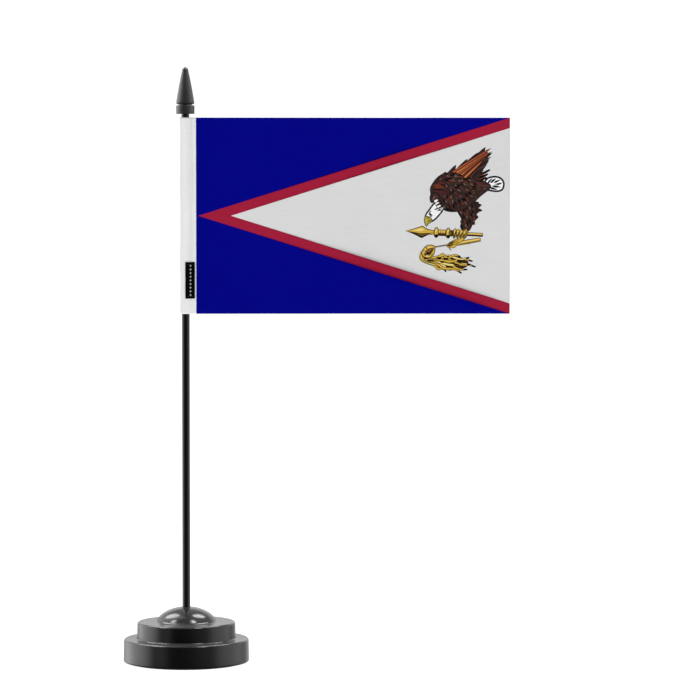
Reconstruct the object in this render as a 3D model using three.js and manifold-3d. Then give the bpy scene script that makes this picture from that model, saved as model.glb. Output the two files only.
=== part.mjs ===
// A desk flag stand: a weighted two-step round base, a slim pole, a spear finial and a sewn flag.
//
// Units are millimetres, +Z is up. The origin is on the pole's axis, on the surface that the stand
// rests on. The flag hangs out along +X and its front faces -Y.
import * as THREE from 'three';
import { mergeVertices } from 'three/addons/utils/BufferGeometryUtils.js';
import Module from 'manifold-3d';

const wasm = await Module();
wasm.setup();

// ---------------------------------------------------------------- driving dimensions

// Flag cloth, 10 x 16 cm, and the thickness that the cloth solids are given.
const FLAG_WIDTH = 160;
const FLAG_HEIGHT = 100;
const FLAG_BOTTOM_Z = 178.7;
const FLAG_THICKNESS = 0.4;

// Pole.
const POLE_RADIUS = 2;
const POLE_LENGTH = 282.7;
const POLE_CHAMFER = 0.3;

// Base, from the surface up. Heights are measured from the lower rim of the moulding.
const RIM_CLEARANCE = 0.6;
const RIM_CHAMFER = 0.3;
const LOWER_TIER_RADIUS = 32.2;
const LOWER_TIER_HEIGHT = 11.8;
const UPPER_TIER_RADIUS = 25.3;
const UPPER_TIER_HEIGHT = 20.4;
const TIER_DRAFT = 0.2;
const TIER_EDGE_ROUND = 1;
const FOOT_FILLET = 0.8;
const DOME_HEIGHT = 28;
const DOME_RADIUS = 16;
const DOME_CROWN = 10.1;
const DOME_COVE_HEIGHT = 1.2;
const WALL = 2;
const SOCKET_RADIUS = 2.15;
const SOCKET_LEAD_IN = 0.4;
const SOCKET_TUBE_RADIUS = 4.4;
const SOCKET_TUBE_BOTTOM_Z = 4.2;
const SOCKET_FLOOR_Z = 6.2;

// Pieces under and inside the base.
const PAD_RADIUS = 29;
const PAD_THICKNESS = 1.1;
const COVER_RADIUS = 29.6;
const COVER_BOTTOM_Z = 1.2;
const COVER_THICKNESS = 2.4;
const BALLAST_OUTER_RADIUS = 22.6;
const BALLAST_INNER_RADIUS = 5;
const BALLAST_THICKNESS = 6.4;
const SCREW_COUNT = 3;
const SCREW_CIRCLE_RADIUS = 26;
const SCREW_HEAD_RADIUS = 2;
const SCREW_HEAD_HEIGHT = 1.1;
const SCREW_SHANK_RADIUS = 1;
const SCREW_SHANK_LENGTH = 6.6;
const BOSS_RADIUS = 2.5;

// Finial.
const FINIAL_BOTTOM_Z = 280.6;
const FINIAL_TOP_Z = 304.4;
const FINIAL_COLLAR_RADIUS = 4.7;
const FINIAL_COLLAR_HEIGHT = 4.3;
const FINIAL_GROOVE_RADIUS = 3.55;
const FINIAL_GROOVE_HEIGHT = 0.6;
const FINIAL_CONE_RADIUS = 4.65;
const FINIAL_TIP_RADIUS = 1.55;
const FINIAL_SOCKET_DEPTH = 8.6;

// Sleeve, seam and label on the hoist side of the flag.
const SLEEVE_INNER_RADIUS = 2.3;
const SLEEVE_OUTER_RADIUS = 2.75;
const SEAM_HALF_THICKNESS = 0.45;
const SEAM_START_X = 4.2;
const SEAM_END_X = 5.4;
const THREAD_WIDTH = 0.35;
const THREAD_X = 5;
const LABEL_LEFT_X = -0.05;
const LABEL_RIGHT_X = 4.7;
const LABEL_HEIGHT = 18.6;
const LABEL_THICKNESS = 0.3;
const LABEL_BOTTOM_Z = 186.5;

// Free play between pieces that lie or fit together, and the wider play round cut holes.
const FREE_PLAY = 0.1;
const CUT_PLAY = 0.3;

// How finely round shapes are divided.
const BASE_SIDES = 48;
const SMALL_SIDES = 24;
const SCREW_SIDES = 16;

// Vertices nearer to each other than this are one vertex.
const WELD_DISTANCE = 1e-5;

// ---------------------------------------------------------------- materials

const finish = (color, roughness, metalness = 0) =>
  new THREE.MeshStandardMaterial({ color, roughness, metalness });

const GLOSS_BLACK = finish(0x1c1c1f, 0.18);
const SATIN_BLACK = finish(0x26262a, 0.3);
const COVER_BLACK = finish(0x19191b, 0.6);
const FOAM_BLACK = finish(0x141414, 0.95);
const STEEL = finish(0x8a8d92, 0.4, 1);
const SCREW_STEEL = finish(0xb9bcc2, 0.3, 1);
const SLEEVE_WHITE = finish(0xe2e2e2, 0.85);
const FLAG_BLUE = finish(0x02077f, 0.8);
const THREAD_WHITE = finish(0xf4f4f2, 0.75);
const THREAD_BLACK = finish(0x101011, 0.75);
const LABEL_BLACK = finish(0x0b0b0c, 0.7);

// ---------------------------------------------------------------- shape helpers

const point = (x, y) => new THREE.Vector2(x, y);

// Points of an arc from one angle to another, in degrees, both ends included.
function arc(centreX, centreY, radius, fromDegrees, toDegrees, steps) {
  const points = [];
  for (let i = 0; i <= steps; i += 1) {
    const angle = THREE.MathUtils.degToRad(fromDegrees + ((toDegrees - fromDegrees) * i) / steps);
    points.push(point(centreX + radius * Math.cos(angle), centreY + radius * Math.sin(angle)));
  }
  return points;
}

// Turns a profile of (radius, z) points round the Z axis. The solid lies on the profile's left.
function turned(profile, sides) {
  return new THREE.LatheGeometry(profile, sides).rotateX(Math.PI / 2);
}

// A flat outline in XY, raised from one height by a depth.
function raised(shape, bottomZ, depth, curveSegments = SMALL_SIDES) {
  const geometry = new THREE.ExtrudeGeometry(shape, { depth, bevelEnabled: false, curveSegments });
  return geometry.translate(0, 0, bottomZ);
}

function box(lowX, lowY, lowZ, sizeX, sizeY, sizeZ) {
  const geometry = new THREE.BoxGeometry(sizeX, sizeY, sizeZ);
  return geometry.translate(lowX + sizeX / 2, lowY + sizeY / 2, lowZ + sizeZ / 2);
}

function rod(radius, bottomZ, height, sides) {
  const profile = [
    point(0, bottomZ),
    point(radius, bottomZ),
    point(radius, bottomZ + height),
    point(0, bottomZ + height),
  ];
  return turned(profile, sides);
}

// A three.js geometry as a manifold solid, and back again.
function toSolid(geometry) {
  const bare = geometry.clone();
  bare.deleteAttribute('normal');
  bare.deleteAttribute('uv');
  const welded = mergeVertices(bare, WELD_DISTANCE);
  const index = welded.index.array;
  const triangles = [];
  for (let i = 0; i < index.length; i += 3) {
    const [a, b, c] = [index[i], index[i + 1], index[i + 2]];
    if (a !== b && b !== c && c !== a) {
      triangles.push(a, b, c);
    }
  }
  const mesh = new wasm.Mesh({
    numProp: 3,
    vertProperties: new Float32Array(welded.attributes.position.array),
    triVerts: new Uint32Array(triangles),
  });
  return new wasm.Manifold(mesh);
}

function toGeometry(solid) {
  const { vertProperties, triVerts } = solid.getMesh();
  const geometry = new THREE.BufferGeometry();
  geometry.setAttribute('position', new THREE.BufferAttribute(new Float32Array(vertProperties), 3));
  geometry.setIndex(new THREE.BufferAttribute(new Uint32Array(triVerts), 1));
  geometry.computeVertexNormals();
  return geometry;
}

// The centres of the cover screws, evenly spaced on their circle.
function screwPlaces() {
  const places = [];
  for (let i = 0; i < SCREW_COUNT; i += 1) {
    const angle = Math.PI / 2 + (i * 2 * Math.PI) / SCREW_COUNT;
    places.push(point(SCREW_CIRCLE_RADIUS * Math.cos(angle), SCREW_CIRCLE_RADIUS * Math.sin(angle)));
  }
  return places;
}

// The stand is four groups, one for each body that moves on its own.
const flagStand = new THREE.Group();
const baseGroup = new THREE.Group();
const poleGroup = new THREE.Group();
const finialGroup = new THREE.Group();
const flagGroup = new THREE.Group();
flagStand.add(baseGroup, poleGroup, finialGroup, flagGroup);

function addPiece(group, name, geometry, material) {
  const mesh = new THREE.Mesh(geometry, material);
  mesh.name = name;
  group.add(mesh);
  return mesh;
}

// ---------------------------------------------------------------- base

const lowerTopZ = RIM_CLEARANCE + LOWER_TIER_HEIGHT;
const upperTopZ = RIM_CLEARANCE + UPPER_TIER_HEIGHT;
const domeTopZ = RIM_CLEARANCE + DOME_HEIGHT;
const domeCentreZ = domeTopZ - DOME_CROWN;
const coverTopZ = COVER_BOTTOM_Z + COVER_THICKNESS;

// Part of the dome's elliptical outline. Angles run up from its widest level, 90 degrees being its top.
function domeArc(radius, crown, fromAngle, toAngle, steps) {
  const { radToDeg } = THREE.MathUtils;
  const unit = arc(0, 0, 1, radToDeg(fromAngle), radToDeg(toAngle), steps);
  return unit.map((place) => point(radius * place.x, domeCentreZ + crown * place.y));
}

// A soft cove that leads from the upper tier's top into the dome, along the tangents of both.
function domeCove(footAngle) {
  const footRadius = DOME_RADIUS * Math.cos(footAngle);
  const lean = (DOME_RADIUS * Math.tan(footAngle)) / DOME_CROWN;
  const cornerRadius = footRadius + lean * DOME_COVE_HEIGHT;
  const reach = Math.hypot(lean, 1) * DOME_COVE_HEIGHT;
  const cove = new THREE.QuadraticBezierCurve(
    point(cornerRadius + reach, upperTopZ),
    point(cornerRadius, upperTopZ),
    point(footRadius, upperTopZ + DOME_COVE_HEIGHT),
  );
  return cove.getPoints(3);
}

// The moulding is hollow from below, with a blind socket tube for the pole in its middle.
function baseProfile() {
  const innerDomeRadius = DOME_RADIUS - WALL;
  const innerCrown = DOME_CROWN - WALL;
  const innerRoofZ = upperTopZ - WALL;
  const lowerRoofZ = lowerTopZ - WALL;
  const lowerInnerRadius = COVER_RADIUS + CUT_PLAY;
  const upperInnerRadius = UPPER_TIER_RADIUS - WALL;

  const inside = [
    point(0, SOCKET_TUBE_BOTTOM_Z),
    point(SOCKET_TUBE_RADIUS, SOCKET_TUBE_BOTTOM_Z),
    ...domeArc(
      innerDomeRadius,
      innerCrown,
      Math.acos(SOCKET_TUBE_RADIUS / innerDomeRadius),
      Math.asin((innerRoofZ - domeCentreZ) / innerCrown),
      5,
    ),
    point(upperInnerRadius, innerRoofZ),
    point(upperInnerRadius, lowerRoofZ),
    point(lowerInnerRadius, lowerRoofZ),
    point(lowerInnerRadius, RIM_CLEARANCE),
  ];
  const lowerTier = [
    point(LOWER_TIER_RADIUS - RIM_CHAMFER, RIM_CLEARANCE),
    point(LOWER_TIER_RADIUS, RIM_CLEARANCE + RIM_CHAMFER),
    ...arc(
      LOWER_TIER_RADIUS - TIER_DRAFT - TIER_EDGE_ROUND,
      lowerTopZ - TIER_EDGE_ROUND,
      TIER_EDGE_ROUND,
      0,
      90,
      4,
    ),
  ];
  const upperTier = [
    ...arc(UPPER_TIER_RADIUS + FOOT_FILLET, lowerTopZ + FOOT_FILLET, FOOT_FILLET, 270, 180, 2),
    ...arc(
      UPPER_TIER_RADIUS - TIER_DRAFT - TIER_EDGE_ROUND,
      upperTopZ - TIER_EDGE_ROUND,
      TIER_EDGE_ROUND,
      0,
      90,
      4,
    ),
  ];

  const footAngle = Math.asin((upperTopZ + DOME_COVE_HEIGHT - domeCentreZ) / DOME_CROWN);
  const mouthAngle = Math.acos((SOCKET_RADIUS + SOCKET_LEAD_IN) / DOME_RADIUS);
  const mouthZ = domeCentreZ + DOME_CROWN * Math.sin(mouthAngle);
  const dome = [
    ...domeCove(footAngle),
    ...domeArc(DOME_RADIUS, DOME_CROWN, footAngle, mouthAngle, 9).slice(1),
    point(SOCKET_RADIUS, mouthZ - SOCKET_LEAD_IN),
    point(SOCKET_RADIUS, SOCKET_FLOOR_Z),
    point(0, SOCKET_FLOOR_Z),
  ];
  return [...inside, ...lowerTier, ...upperTier, ...dome];
}

function baseShell() {
  const roofOverlap = 0.5;
  const pilotRadius = SCREW_SHANK_RADIUS + FREE_PLAY;
  const bossBottomZ = coverTopZ + FREE_PLAY;
  const bossTopZ = lowerTopZ - WALL + roofOverlap;
  const pilotBottomZ = bossBottomZ - 1;
  const pilotTopZ = lowerTopZ - WALL - roofOverlap;
  let solid = toSolid(turned(baseProfile(), BASE_SIDES));
  for (const place of screwPlaces()) {
    const boss = rod(BOSS_RADIUS, bossBottomZ, bossTopZ - bossBottomZ, SCREW_SIDES);
    const pilot = rod(pilotRadius, pilotBottomZ, pilotTopZ - pilotBottomZ, SCREW_SIDES);
    solid = solid.add(toSolid(boss.translate(place.x, place.y, 0)));
    solid = solid.subtract(toSolid(pilot.translate(place.x, place.y, 0)));
  }
  return toGeometry(solid);
}

function bottomCover() {
  const pocketRadius = SCREW_HEAD_RADIUS + CUT_PLAY;
  const pocketDepth = SCREW_HEAD_HEIGHT + 2 * FREE_PLAY;
  const holeRadius = SCREW_SHANK_RADIUS + CUT_PLAY;
  const past = 1;
  let solid = toSolid(rod(COVER_RADIUS, COVER_BOTTOM_Z, COVER_THICKNESS, BASE_SIDES));
  for (const place of screwPlaces()) {
    const pocket = rod(pocketRadius, COVER_BOTTOM_Z - past, pocketDepth + past, SCREW_SIDES);
    const hole = rod(holeRadius, COVER_BOTTOM_Z - past, COVER_THICKNESS + 2 * past, SCREW_SIDES);
    solid = solid.subtract(toSolid(pocket.translate(place.x, place.y, 0)));
    solid = solid.subtract(toSolid(hole.translate(place.x, place.y, 0)));
  }
  return toGeometry(solid);
}

function ballastRing() {
  const bottomZ = coverTopZ + FREE_PLAY;
  const topZ = bottomZ + BALLAST_THICKNESS;
  const edge = 0.4;
  const profile = [
    point(BALLAST_INNER_RADIUS, bottomZ),
    point(BALLAST_OUTER_RADIUS - edge, bottomZ),
    point(BALLAST_OUTER_RADIUS, bottomZ + edge),
    point(BALLAST_OUTER_RADIUS, topZ - edge),
    point(BALLAST_OUTER_RADIUS - edge, topZ),
    point(BALLAST_INNER_RADIUS, topZ),
    point(BALLAST_INNER_RADIUS, bottomZ),
  ];
  return turned(profile, BASE_SIDES);
}

// A pan-head self-tapping screw, head down, with a cross recess.
function coverScrew() {
  const headBottomZ = COVER_BOTTOM_Z + FREE_PLAY;
  const seatZ = headBottomZ + SCREW_HEAD_HEIGHT;
  const tipZ = seatZ + SCREW_SHANK_LENGTH;
  const pointLength = 1.4;
  const recessWidth = 0.5;
  const recessLength = 2.2;
  const recessDepth = 0.6;
  const headFlatRadius = 0.7 * SCREW_HEAD_RADIUS;
  const profile = [
    point(0, headBottomZ),
    point(headFlatRadius, headBottomZ),
    point(SCREW_HEAD_RADIUS, headBottomZ + SCREW_HEAD_HEIGHT / 2),
    point(SCREW_HEAD_RADIUS, seatZ),
    point(SCREW_SHANK_RADIUS, seatZ),
    point(SCREW_SHANK_RADIUS, tipZ - pointLength),
    point(0, tipZ),
  ];
  const past = 1;
  const depth = recessDepth + past;
  const bottomZ = headBottomZ - past;
  const slotX = box(-recessLength / 2, -recessWidth / 2, bottomZ, recessLength, recessWidth, depth);
  const slotY = box(-recessWidth / 2, -recessLength / 2, bottomZ, recessWidth, recessLength, depth);
  const solid = toSolid(turned(profile, SCREW_SIDES)).subtract(toSolid(slotX));
  return toGeometry(solid.subtract(toSolid(slotY)));
}

function antiSlipPad() {
  const disc = new THREE.Shape().absarc(0, 0, PAD_RADIUS, 0, 2 * Math.PI);
  return raised(disc, 0, PAD_THICKNESS, BASE_SIDES);
}

addPiece(baseGroup, 'base_shell', baseShell(), GLOSS_BLACK);
addPiece(baseGroup, 'ballast_ring', ballastRing(), STEEL);
addPiece(baseGroup, 'bottom_cover', bottomCover(), COVER_BLACK);
screwPlaces().forEach((place, i) => {
  const screw = addPiece(baseGroup, `cover_screw_${i + 1}`, coverScrew(), SCREW_STEEL);
  screw.position.set(place.x, place.y, 0);
});
addPiece(baseGroup, 'anti_slip_pad', antiSlipPad(), FOAM_BLACK);

// ---------------------------------------------------------------- pole and finial

function pole() {
  const bottomZ = SOCKET_FLOOR_Z + FREE_PLAY;
  const topZ = bottomZ + POLE_LENGTH;
  const profile = [
    point(0, bottomZ),
    point(POLE_RADIUS - POLE_CHAMFER, bottomZ),
    point(POLE_RADIUS, bottomZ + POLE_CHAMFER),
    point(POLE_RADIUS, topZ - POLE_CHAMFER),
    point(POLE_RADIUS - POLE_CHAMFER, topZ),
    point(0, topZ),
  ];
  return turned(profile, SMALL_SIDES);
}

// A collar, a groove and a slightly bulging cone with a round tip, on a blind socket.
function finial() {
  const edge = 0.3;
  const collarTopZ = FINIAL_BOTTOM_Z + FINIAL_COLLAR_HEIGHT;
  const grooveTopZ = collarTopZ + FINIAL_GROOVE_HEIGHT;
  const coneBottomZ = grooveTopZ + 2 * edge;
  const tipZ = FINIAL_TOP_Z - FINIAL_TIP_RADIUS;
  const bulge = 0.3;
  const cone = new THREE.QuadraticBezierCurve(
    point(FINIAL_CONE_RADIUS, coneBottomZ + edge),
    point((FINIAL_CONE_RADIUS + FINIAL_TIP_RADIUS) / 2 + bulge, (coneBottomZ + tipZ) / 2),
    point(FINIAL_TIP_RADIUS, tipZ),
  );
  const socketTopZ = FINIAL_BOTTOM_Z + FINIAL_SOCKET_DEPTH;
  const profile = [
    point(0, socketTopZ),
    point(SOCKET_RADIUS, socketTopZ),
    point(SOCKET_RADIUS, FINIAL_BOTTOM_Z),
    point(FINIAL_COLLAR_RADIUS - edge, FINIAL_BOTTOM_Z),
    point(FINIAL_COLLAR_RADIUS, FINIAL_BOTTOM_Z + edge),
    point(FINIAL_COLLAR_RADIUS, collarTopZ - edge),
    point(FINIAL_COLLAR_RADIUS - edge, collarTopZ),
    point(FINIAL_GROOVE_RADIUS, collarTopZ),
    point(FINIAL_GROOVE_RADIUS, grooveTopZ),
    point(FINIAL_CONE_RADIUS - 2 * edge, grooveTopZ),
    point(FINIAL_CONE_RADIUS - edge / 2, grooveTopZ + edge),
    ...cone.getPoints(8),
    ...arc(0, tipZ, FINIAL_TIP_RADIUS, 0, 90, 5).slice(1, -1),
    point(0, FINIAL_TOP_Z),
  ];
  return turned(profile, SMALL_SIDES);
}

addPiece(poleGroup, 'pole', pole(), GLOSS_BLACK);
addPiece(finialGroup, 'finial', finial(), SATIN_BLACK);

// ---------------------------------------------------------------- flag

// The angle from +X at which the slack cloth, drawn from the seam, meets the round of the sleeve.
function sleeveTouchAngle() {
  const distance = Math.hypot(SEAM_START_X, SEAM_HALF_THICKNESS);
  const seamAngle = Math.atan2(SEAM_HALF_THICKNESS, SEAM_START_X);
  return seamAngle + Math.acos(SLEEVE_OUTER_RADIUS / distance);
}

// A strip of cloth folded round the pole, its two plies sewn flat together along the seam.
function hoistSleeve() {
  const touch = sleeveTouchAngle();
  const outline = new THREE.Shape();
  outline.moveTo(SEAM_START_X, -SEAM_HALF_THICKNESS);
  outline.lineTo(SEAM_END_X, -SEAM_HALF_THICKNESS);
  outline.lineTo(SEAM_END_X, SEAM_HALF_THICKNESS);
  outline.lineTo(SEAM_START_X, SEAM_HALF_THICKNESS);
  outline.absarc(0, 0, SLEEVE_OUTER_RADIUS, touch, 2 * Math.PI - touch, false);
  outline.closePath();
  outline.holes.push(new THREE.Path().absarc(0, 0, SLEEVE_INNER_RADIUS, 0, 2 * Math.PI, true));
  return raised(outline, FLAG_BOTTOM_Z, FLAG_HEIGHT, SMALL_SIDES / 2);
}

// Points that follow the sleeve's front face from left to right, a given distance off the cloth.
function frontFace(offset, leftX, rightX) {
  const radius = SLEEVE_OUTER_RADIUS + offset;
  const leftDegrees = -THREE.MathUtils.radToDeg(Math.acos(leftX / radius));
  const touchDegrees = -THREE.MathUtils.radToDeg(sleeveTouchAngle());
  const plySlope = Math.PI / 2 - sleeveTouchAngle();
  const flatY = -(SEAM_HALF_THICKNESS + offset);
  const points = arc(0, 0, radius, leftDegrees, touchDegrees, 4);
  const cornerX = SEAM_START_X - offset * Math.tan(plySlope / 2);
  if (rightX > cornerX) {
    return [...points, point(cornerX, flatY), point(rightX, flatY)];
  }
  const rise = (cornerX - rightX) * Math.tan(plySlope);
  return [...points, point(rightX, flatY - rise)];
}

// A thin piece that lies along the sleeve's front face, between two distances off the cloth.
function laidOnSleeve(innerOffset, thickness, leftX, rightX, bottomZ, height) {
  const outer = frontFace(innerOffset + thickness, leftX, rightX);
  const inner = frontFace(innerOffset, leftX, rightX).reverse();
  return raised(new THREE.Shape([...outer, ...inner]), bottomZ, height);
}

function flagPanel() {
  const hoistX = SEAM_END_X + FREE_PLAY;
  return box(hoistX, -FLAG_THICKNESS / 2, FLAG_BOTTOM_Z, FLAG_WIDTH, FLAG_THICKNESS, FLAG_HEIGHT);
}

// The row of stitches on one side of the seam, as a thin straight strip.
function seamThread() {
  const endMargin = 0.5;
  const lengthZ = FLAG_HEIGHT - 2 * endMargin;
  return box(0, 0, FLAG_BOTTOM_Z + endMargin, THREAD_WIDTH, THREAD_WIDTH, lengthZ);
}

function sleeveLabel() {
  return laidOnSleeve(
    FREE_PLAY,
    LABEL_THICKNESS,
    LABEL_LEFT_X,
    LABEL_RIGHT_X,
    LABEL_BOTTOM_Z,
    LABEL_HEIGHT,
  );
}

// One row of stitches across the label, lying on the label's face.
function labelStitch(centreZ) {
  const sideMargin = 0.5;
  return laidOnSleeve(
    LABEL_THICKNESS + 2 * FREE_PLAY,
    THREAD_WIDTH,
    LABEL_LEFT_X + sideMargin,
    LABEL_RIGHT_X - 2 * sideMargin,
    centreZ - THREAD_WIDTH / 2,
    THREAD_WIDTH,
  );
}

addPiece(flagGroup, 'hoist_sleeve', hoistSleeve(), SLEEVE_WHITE);
addPiece(flagGroup, 'flag_panel', flagPanel(), FLAG_BLUE);

const threadFront = addPiece(flagGroup, 'seam_thread_front', seamThread(), THREAD_WHITE);
const threadBack = addPiece(flagGroup, 'seam_thread_back', seamThread(), THREAD_WHITE);
const threadOffset = SEAM_HALF_THICKNESS + FREE_PLAY;
threadFront.position.set(THREAD_X, -threadOffset - THREAD_WIDTH, 0);
threadBack.position.set(THREAD_X, threadOffset, 0);

addPiece(flagGroup, 'sleeve_label', sleeveLabel(), LABEL_BLACK);
const stitchInset = 1.2;
const topStitch = labelStitch(LABEL_BOTTOM_Z + LABEL_HEIGHT - stitchInset);
const bottomStitch = labelStitch(LABEL_BOTTOM_Z + stitchInset);
addPiece(flagGroup, 'label_stitch_top', topStitch, THREAD_BLACK);
addPiece(flagGroup, 'label_stitch_bottom', bottomStitch, THREAD_BLACK);

export default flagStand;
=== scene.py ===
"""The looks of the desk flag stand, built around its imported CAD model.

The CAD frame is in metres: +Z up, the pole on the Z axis, the flag out along +X, its front facing -Y.
Sizes are given in millimetres here and turned into metres where a mesh is made.
"""

import math

import bpy
import numpy as np
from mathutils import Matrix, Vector, geometry, noise


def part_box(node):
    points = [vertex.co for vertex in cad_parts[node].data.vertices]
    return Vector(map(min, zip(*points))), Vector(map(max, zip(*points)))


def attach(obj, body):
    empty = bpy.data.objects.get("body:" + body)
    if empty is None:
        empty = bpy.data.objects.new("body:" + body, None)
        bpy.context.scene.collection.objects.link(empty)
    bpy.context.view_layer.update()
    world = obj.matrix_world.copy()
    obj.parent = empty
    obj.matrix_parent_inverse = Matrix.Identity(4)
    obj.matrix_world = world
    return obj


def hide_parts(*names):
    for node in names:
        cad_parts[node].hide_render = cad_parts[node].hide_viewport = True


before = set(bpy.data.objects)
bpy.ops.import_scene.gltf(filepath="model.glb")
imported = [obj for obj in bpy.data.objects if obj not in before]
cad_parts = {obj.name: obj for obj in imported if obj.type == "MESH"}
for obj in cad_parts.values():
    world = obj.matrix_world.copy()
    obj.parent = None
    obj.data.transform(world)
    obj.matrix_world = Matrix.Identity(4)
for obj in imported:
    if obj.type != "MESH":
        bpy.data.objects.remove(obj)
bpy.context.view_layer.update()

MM = 0.001

# ---- places taken from the CAD frame

rim_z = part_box("base_shell")[0].z / MM
base_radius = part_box("base_shell")[1].x / MM
pole_low, pole_high = (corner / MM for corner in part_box("pole"))
finial_low, finial_high = (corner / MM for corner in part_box("finial"))
panel_low, panel_high = (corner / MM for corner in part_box("flag_panel"))
sleeve_low, sleeve_high = (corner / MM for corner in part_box("hoist_sleeve"))
thread_low, thread_high = (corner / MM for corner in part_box("seam_thread_front"))
label_low, label_high = (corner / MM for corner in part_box("sleeve_label"))

FLAG_WIDTH = panel_high.x - panel_low.x
FLAG_HEIGHT = panel_high.z - panel_low.z

# ---- camera

# The stand fills the frame as it does on a product page: level with the flag, a little above the base.
FRAME_WIDTH_MM = 358.0
CAMERA_DISTANCE_MM = 1600.0
CAMERA_AZIMUTH = math.radians(-1.0)
CAMERA_ELEVATION = math.radians(2.33)
CAMERA_TARGET_MM = Vector((83.9, 0.0, 160.13))


def new_in_scene(name, data):
    obj = bpy.data.objects.new(name, data)
    bpy.context.scene.collection.objects.link(obj)
    return obj


def place_facing(obj, location, back):
    """Puts a camera or a light somewhere, looking away from its back direction."""
    obj.location = location
    obj.rotation_mode = "QUATERNION"
    obj.rotation_quaternion = back.to_track_quat("Z", "Y")


def make_camera():
    data = bpy.data.cameras.new("camera")
    data.sensor_width = 36.0
    data.lens = data.sensor_width * CAMERA_DISTANCE_MM / FRAME_WIDTH_MM
    data.clip_start = 0.05
    data.clip_end = 50.0
    level = math.cos(CAMERA_ELEVATION)
    back = Vector((
        math.sin(CAMERA_AZIMUTH) * level,
        -math.cos(CAMERA_AZIMUTH) * level,
        math.sin(CAMERA_ELEVATION),
    ))
    camera = new_in_scene("camera", data)
    place_facing(camera, (CAMERA_TARGET_MM + back * CAMERA_DISTANCE_MM) * MM, back)
    bpy.context.scene.camera = camera


make_camera()

# ---- mesh helpers


def new_object(name, vertices_mm, faces, smooth_angle=35.0):
    """A mesh object from points in millimetres, shaded smooth except at edges sharper than an angle."""
    mesh = bpy.data.meshes.new(name)
    mesh.from_pydata([Vector(v) * MM for v in vertices_mm], [], faces)
    mesh.validate()
    mesh.shade_smooth()
    mesh.set_sharp_from_angle(angle=math.radians(smooth_angle))
    return new_in_scene(name, mesh)


def coat(obj, material):
    obj.data.materials.append(material)


def arc(centre, radius, start_degrees, end_degrees, steps):
    """Points of an arc in a plane, both ends included."""
    points = []
    for i in range(steps + 1):
        angle = math.radians(start_degrees + (end_degrees - start_degrees) * i / steps)
        points.append((centre[0] + radius * math.cos(angle), centre[1] + radius * math.sin(angle)))
    return points


def between(a, b, t):
    return Vector(a).lerp(Vector(b), t)


def bezier(a, b, c, t):
    return between(between(a, b, t), between(b, c, t), t)


def turned(name, profile, sides):
    """A solid of revolution round the Z axis. The profile of (radius, z) starts and ends on the axis."""
    vertices, rings = [], []
    for radius, z in profile:
        count = sides if radius else 1
        rings.append([len(vertices) + i % count for i in range(sides + 1)])
        for i in range(count):
            angle = 2 * math.pi * i / sides
            vertices.append((radius * math.cos(angle), radius * math.sin(angle), z))
    faces = []
    for lower, upper in zip(rings, rings[1:]):
        for i in range(sides):
            corners = [lower[i], lower[i + 1], upper[i + 1], upper[i]]
            faces.append(list(dict.fromkeys(corners)))
    return new_object(name, vertices, faces)


def spline(points, steps, closed=False):
    """Points along a smooth Catmull-Rom curve through the given ones."""
    points = [Vector(p) for p in points]
    run = points[-1:] + points + points[:2] if closed else points[:1] + points + points[-1:]
    picked = []
    for a, b, c, d in zip(run, run[1:], run[2:], run[3:]):
        for step in range(steps):
            t = step / steps
            picked.append(0.5 * (
                2 * b + (c - a) * t + (2 * a - 5 * b + 4 * c - d) * t ** 2
                + (3 * b - a - 3 * c + d) * t ** 3
            ))
    return picked if closed else picked + points[-1:]


def grid_faces(columns, rows):
    """The faces of a grid whose points are listed row by row."""
    width = columns + 1
    return [(a, a + width, a + width + 1, a + 1)
            for row in range(rows) for a in range(row * width, row * width + columns)]


def border(faces):
    """The edges that only one face has, each with the number of its face."""
    owners = {edge: i for i, face in enumerate(faces) for edge in zip(face, face[1:] + face[:1])}
    return [(a, b, i) for (a, b), i in owners.items() if (b, a) not in owners]

# ---- material helpers


NOISE_RANGE = (0.3, 0.7)  # most of a noise's values lie between these two


class Nodes:
    """Short ways to build a node tree. An input takes a value or another node's output."""

    def __init__(self, tree):
        self.nodes = tree.nodes
        self.links = tree.links

    def plug(self, source, target):
        if isinstance(source, (int, float, tuple)):
            target.default_value = source
        else:
            self.links.new(source, target)

    def add(self, kind, **inputs):
        """A new node, with its inputs by name: From_Min stands for "From Min"."""
        node = self.nodes.new("ShaderNode" + kind)
        for name, source in inputs.items():
            self.plug(source, node.inputs[name.replace("_", " ")])
        return node

    def math(self, operation, a, b=0.0):
        node = self.add("Math")
        node.operation = operation
        self.plug(a, node.inputs[0])
        self.plug(b, node.inputs[1])
        return node.outputs[0]

    def plus(self, a, b):
        return self.math("ADD", a, b)

    def times(self, a, b):
        return self.math("MULTIPLY", a, b)


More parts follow.
